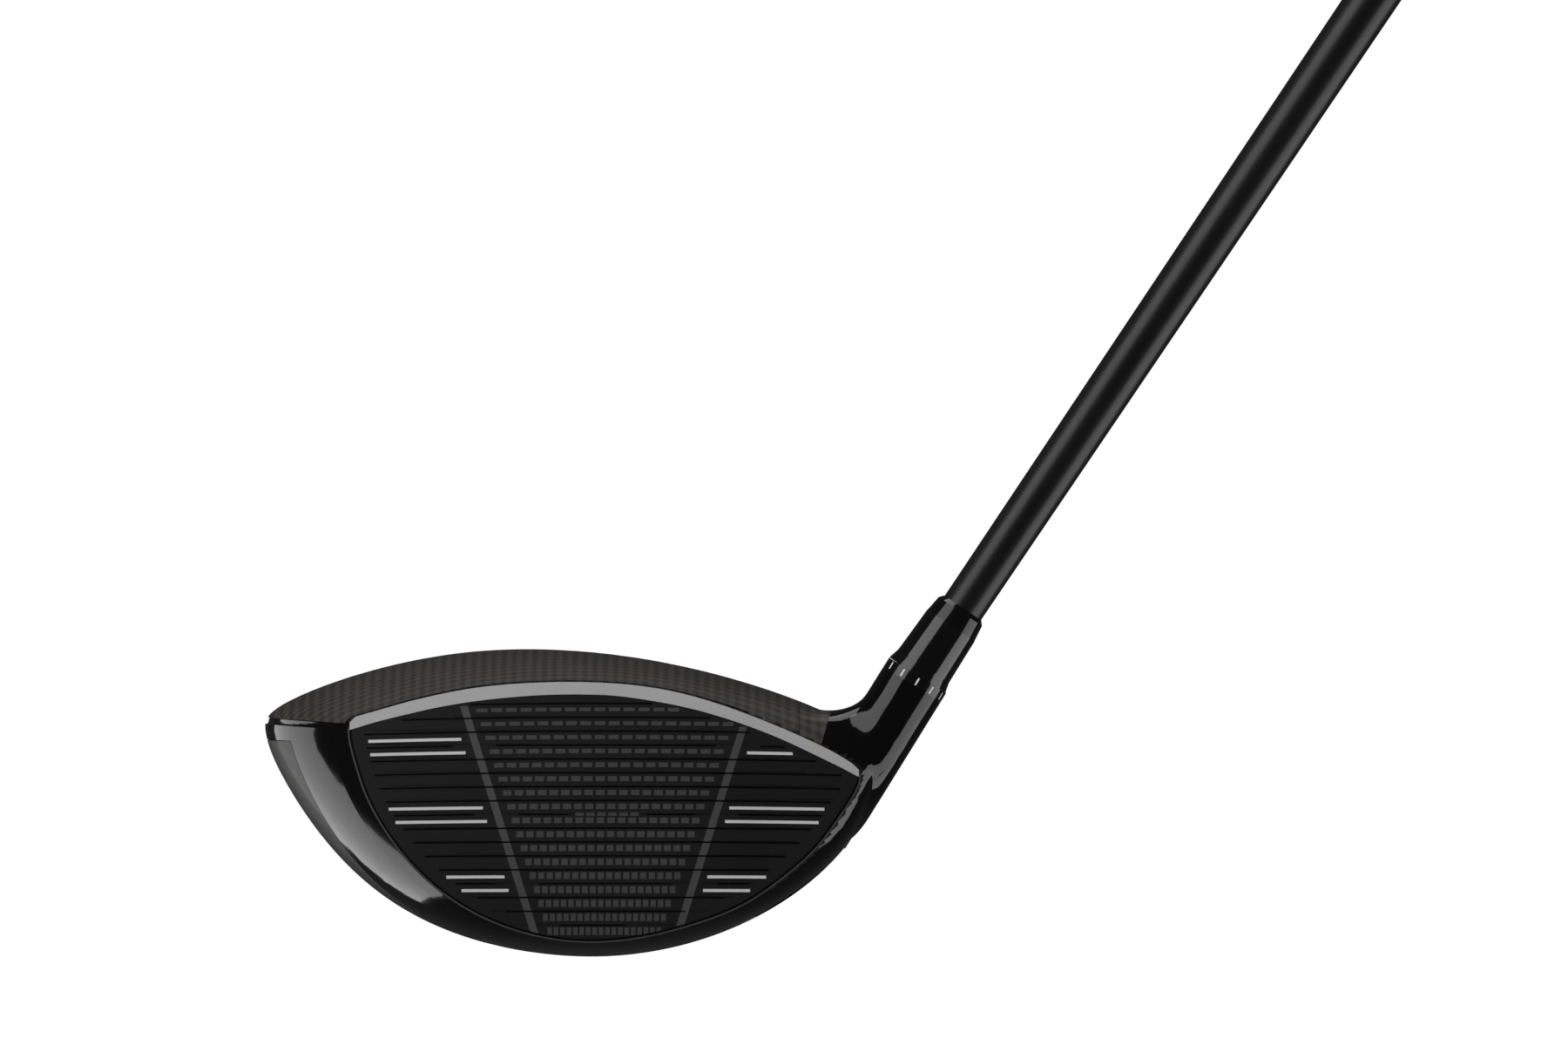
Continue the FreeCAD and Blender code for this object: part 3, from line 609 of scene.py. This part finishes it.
def score_lines():
    art = Artwork("face_score_lines", "score_white")
    for i, toe_lengths, heel_lengths in SCORE_ROWS:
        for k, side in enumerate((1, -1)):
            z = groove_z(i) + side * 1.42
            inner = toe_stripe(z) - 2.6
            art.line(inner - toe_lengths[k], inner, z, 0.62, row_arch(z), INK * 2)
            inner = heel_stripe(z) + 2.4
            if heel_lengths[k] > 0:
                art.line(inner, inner + heel_lengths[k], z, 0.62, row_arch(z), INK * 2)
    return art.done()


def dashes():
    art = Artwork("face_dashes", "dash_grey")
    for i in range(GROOVES):
        z = GRID_TOP_Z - GROOVE_PITCH * i
        left = grid_left(z)
        pitch = (grid_right(z) - left) / GRID_COLUMNS
        t = i / (GROOVES - 1)
        half_w = pitch * (0.375 - 0.025 * t)
        half_h = 0.38 + 0.42 * t
        for k in range(GRID_COLUMNS):
            x = left + pitch * (k + 0.5)
            mid = z - row_arch(z) * x * x
            if mid + half_h > smooth_line(BAND_LOW, x) - 0.5:
                continue
            low = [(x - half_w, mid - half_h), (x + half_w, mid - half_h)]
            high = [(x - half_w, mid + half_h), (x + half_w, mid + half_h)]
            art.closed_strip(low, high, INK)
    for k in range(6):
        x = 0.45 + 2.28 * (k - 2.5)
        z = groove_z(8)
        art.closed_strip([(x - 0.9, z - 0.35), (x + 0.9, z - 0.35)],
                         [(x - 0.9, z + 0.35), (x + 0.9, z + 0.35)], INK)
    return art.done()


def stripes():
    art = Artwork("face_stripes", "stripe_grey")
    for edge, top, bottom in ((toe_stripe, 52.6, 4.9), (heel_stripe, 48.3, 6.9)):
        zs = [top + (bottom - top) * i / 14 for i in range(15)]
        low = [(edge(z) - 0.8, z) for z in zs]
        high = [(edge(z) + 0.8, z) for z in zs]
        art.closed_strip(low, high, INK * 0.7)
    return art.done()


def top_band(outline):
    art = Artwork("face_top_band", "band_grey")
    xs = [-53.3 + 106.2 * i / 90 for i in range(91)]
    low = [(x, smooth_line(BAND_LOW, x)) for x in xs]
    high = []
    for (x, z) in low:
        tops = []
        for a, b in zip(outline, outline[1:] + outline[:1]):
            if min(a.x, b.x) <= x <= max(a.x, b.x) and a.x != b.x:
                tops.append(a.y + (b.y - a.y) * (x - a.x) / (b.x - a.x))
        high.append((x, max([z + 0.02] + [t - 0.05 for t in tops])))
    art.closed_strip(low, high, INK * 2)
    return art.done()


def rim_highlight_and_groove_shade(outline):
    # outer ring: painted highlight on the rounded edge of the face
    art = Artwork("face_edge_line", "face_edge_highlight")
    art.ring(inset(outline, 0.08), inset(outline, 0.40), INK)
    art.done()
    # inner ring: painted shade in the small groove between the face and its rounded edge
    art = Artwork("face_rim_groove_shade", "groove_shade_black")
    art.ring(inset(outline, 0.40), inset(outline, 0.85), INK)
    art.done()


def face_artwork():
    outline = evenly(face_outline(), 360)
    limits = inset(outline, 3.3)
    rim_highlight_and_groove_shade(outline)
    stripes()
    dashes()
    grooves(limits)
    score_lines()
    top_band(outline)


# ------------------------------------------------------------ grip
GRIP_START = 1162.0 - 58.1 / math.sin(SHAFT_LIE) - 268.0
GRIP_LENGTH = 265
GRIP_PROFILE = [(0.0, 9.1), (1.2, 9.9), (60.0, 10.6), (140.0, 11.6), (220.0, 12.7), (265.0, 13.2)]
GRIP_AROUND = 96
GRIP_INNER_R = 8.4


def grip_radius(along, angle):
    # crossed grooves cut 0.35 mm into the rubber, between plain bands at both ends
    radius = smooth_line(GRIP_PROFILE, along)
    patterned = min(max((along - 12.0) / 3.0, 0.0), 1.0) * min(max((252.0 - along) / 3.0, 0.0), 1.0)
    turn = angle * 8.0
    steps = along * math.pi / 6.0
    valley = min(abs(math.sin(steps + turn)), abs(math.sin(steps - turn)))
    return radius - 0.35 * patterned * max(0.0, 1.0 - valley / 0.35)


def grip_ring(bm, along, radius_at):
    centre = AXES_CROSS + SHAFT_UP * (GRIP_START + along)
    ring = []
    for i in range(GRIP_AROUND):
        angle = 2.0 * math.pi * i / GRIP_AROUND
        out = SHAFT_TOEWARD * math.cos(angle) + Vector((0, 1, 0)) * math.sin(angle)
        ring.append(bm.verts.new((centre + out * radius_at(along, angle)) * MM))
    return ring


def grip_inside(along, angle):
    return GRIP_INNER_R


def soft_grip():
    bm = bmesh.new()
    rings = [grip_ring(bm, float(k), grip_radius) for k in range(GRIP_LENGTH + 1)]
    rings.append(grip_ring(bm, float(GRIP_LENGTH), grip_inside))
    rings.append(grip_ring(bm, 0.0, grip_inside))
    for a, b in zip(rings, rings[1:] + rings[:1]):
        for i in range(GRIP_AROUND):
            j = (i + 1) % GRIP_AROUND
            bm.faces.new((a[i], a[j], b[j], b[i]))
    bmesh.ops.recalc_face_normals(bm, faces=bm.faces)
    mesh = bpy.data.meshes.new("grip_sleeve")
    bm.to_mesh(mesh)
    bm.free()
    mesh.materials.append(MATERIALS["grip_rubber"])
    for polygon in mesh.polygons:
        polygon.use_smooth = True
    piece = bpy.data.objects.new("grip_sleeve", mesh)
    bpy.context.scene.collection.objects.link(piece)
    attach(piece, "shaft_side")
    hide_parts("grip")


# ------------------------------------------------------------ hosel marks
def tick_marks():
    # white fill in the twelve index lines round the sleeve ring
    bm = bmesh.new()
    for k in range(12):
        turn = math.radians(30.0 * k + 4.5)
        out = HOSEL_TOEWARD * -math.cos(turn) + Vector((0, 1, 0)) * math.sin(turn)
        side = HOSEL_UP.cross(out)
        corners = []
        for up in (0.33, 1.97):
            for across in (-0.18, 0.18):
                for r in (HOSEL_R - 0.2, HOSEL_R + 0.012):
                    p = HOSEL_TOP + HOSEL_UP * up + side * across + out * r
                    corners.append(bm.verts.new(p * MM))
        faces = ((0, 1, 3, 2), (4, 6, 7, 5), (0, 4, 5, 1), (2, 3, 7, 6), (0, 2, 6, 4), (1, 5, 7, 3))
        for f in faces:
            bm.faces.new([corners[i] for i in f])
    bmesh.ops.recalc_face_normals(bm, faces=bm.faces)
    mesh = bpy.data.meshes.new("sleeve_ticks")
    bm.to_mesh(mesh)
    bm.free()
    mesh.materials.append(MATERIALS["tick_white"])
    piece = bpy.data.objects.new("sleeve_ticks", mesh)
    bpy.context.scene.collection.objects.link(piece)
    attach(piece, "shaft_side")


# ------------------------------------------------------------ studio
# the floor and the dome reach past every camera
STAGE_R = 30.0
# far enough down for the head to come off its sleeve above it
FLOOR_Z = -0.060


def plain_stage():
    m, tree, out = new_material("studio_white")
    shader = node(tree, "ShaderNodeBsdfPrincipled")
    shader.inputs["Base Color"].default_value = (0.9, 0.9, 0.9, 1.0)
    shader.inputs["Emission Color"].default_value = (1.0, 1.0, 1.0, 1.0)
    shader.inputs["Emission Strength"].default_value = 1.0
    shader.inputs["Roughness"].default_value = 1.0
    shader.inputs["Specular IOR Level"].default_value = 0.0
    finished(m, out, shader)
    bm = bmesh.new()
    bmesh.ops.create_circle(bm, cap_ends=True, radius=STAGE_R, segments=96)
    mesh = bpy.data.meshes.new("studio_floor")
    bm.to_mesh(mesh)
    bm.free()
    mesh.materials.append(m)
    floor = bpy.data.objects.new("studio_floor", mesh)
    floor.location.z = FLOOR_Z
    bm = bmesh.new()
    bmesh.ops.create_uvsphere(bm, u_segments=64, v_segments=32, radius=STAGE_R)
    mesh = bpy.data.meshes.new("studio_dome")
    bm.to_mesh(mesh)
    bm.free()
    mesh.materials.append(m)
    dome = bpy.data.objects.new("studio_dome", mesh)
    for o in (floor, dome):
        bpy.context.scene.collection.objects.link(o)
        o.visible_glossy = False
        o.visible_diffuse = False
        o.visible_shadow = False


def softbox(name, place, target, size, radiance, long_side=None, seen_in_gloss=True):
    # size is (across, long side); radiance is the brightness of its surface, and
    # long_side is the direction that its longer edge runs in
    width, height = size
    light = bpy.data.lights.new(name, "AREA")
    light.shape = "RECTANGLE"
    light.size = width
    light.size_y = height
    light.energy = radiance * math.pi * width * height
    o = bpy.data.objects.new(name, light)
    o.location = place
    back = (Vector(place) - Vector(target)).normalized()
    up = Vector(long_side) if long_side else Vector((0, 0, 1))
    up = (up - back * up.dot(back)).normalized()
    side = up.cross(back)
    o.matrix_world = Matrix((
        (side.x, up.x, back.x, place[0]),
        (side.y, up.y, back.y, place[1]),
        (side.z, up.z, back.z, place[2]),
        (0.0, 0.0, 0.0, 1.0)))
    bpy.context.scene.collection.objects.link(o)
    o.visible_camera = False
    o.visible_glossy = seen_in_gloss


def beside_shaft(angle, distance, up=0.12):
    # place that many degrees round the shaft from the camera's side, heelward positive
    out = Vector((0, -1, 0)) * math.cos(angle) - SHAFT_TOEWARD * math.sin(angle)
    base = AXES_CROSS * MM + SHAFT_UP * up
    return base, base + out * distance


def studio_lights():
    head = Vector((0.0, 0.03, 0.04))
    softbox("toe_softbox", (-1.10, 0.66, -0.22), (-0.06, 0.04, 0.03), (0.9, 1.5), 1.5,
            (0.0, -0.35, 1.0))
    base, place = beside_shaft(math.radians(-56.0), 1.3)
    softbox("left_strip", place, base, (1.05, 2.4), 1.5, SHAFT_UP)
    base, place = beside_shaft(math.radians(80.0), 1.1)
    softbox("right_strip", place, base, (1.0, 2.4), 1.5, SHAFT_UP)
    softbox("top_softbox", (-0.1, 0.25, 1.4), head, (1.2, 0.9), 1.6)
    softbox("front_fill", (-0.3, -2.0, 1.3), head, (1.4, 1.4), 3.2, seen_in_gloss=False)
    world = bpy.data.worlds.new("studio_world")
    world.use_nodes = True
    back = world.node_tree.nodes["Background"]
    back.inputs[0].default_value = (1.0, 1.0, 1.0, 1.0)
    back.inputs[1].default_value = 0.03
    bpy.context.scene.world = world


# the picture takes in 0.3276 m at the head, centred on this point
VIEW_CENTRE = Vector((0.0373, 0.02, 0.0909))
VIEW_WIDTH = 0.3276
LENS = 500.0
SENSOR = 36.0


def studio_camera():
    data = bpy.data.cameras.new("camera")
    data.lens = LENS
    data.sensor_width = SENSOR
    away = VIEW_WIDTH * LENS / SENSOR
    data.clip_start = 0.05
    data.clip_end = 60.0
    cam = bpy.data.objects.new("camera", data)
    cam.location = VIEW_CENTRE + Vector((0, -away, 0))
    cam.rotation_euler = (math.radians(90.0), 0, 0)
    bpy.context.scene.collection.objects.link(cam)
    bpy.context.scene.camera = cam


paint_nodes()
polish_neck()
face_artwork()
tick_marks()
soft_grip()
plain_stage()
studio_lights()
studio_camera()
bpy.context.scene.view_settings.view_transform = "Standard"
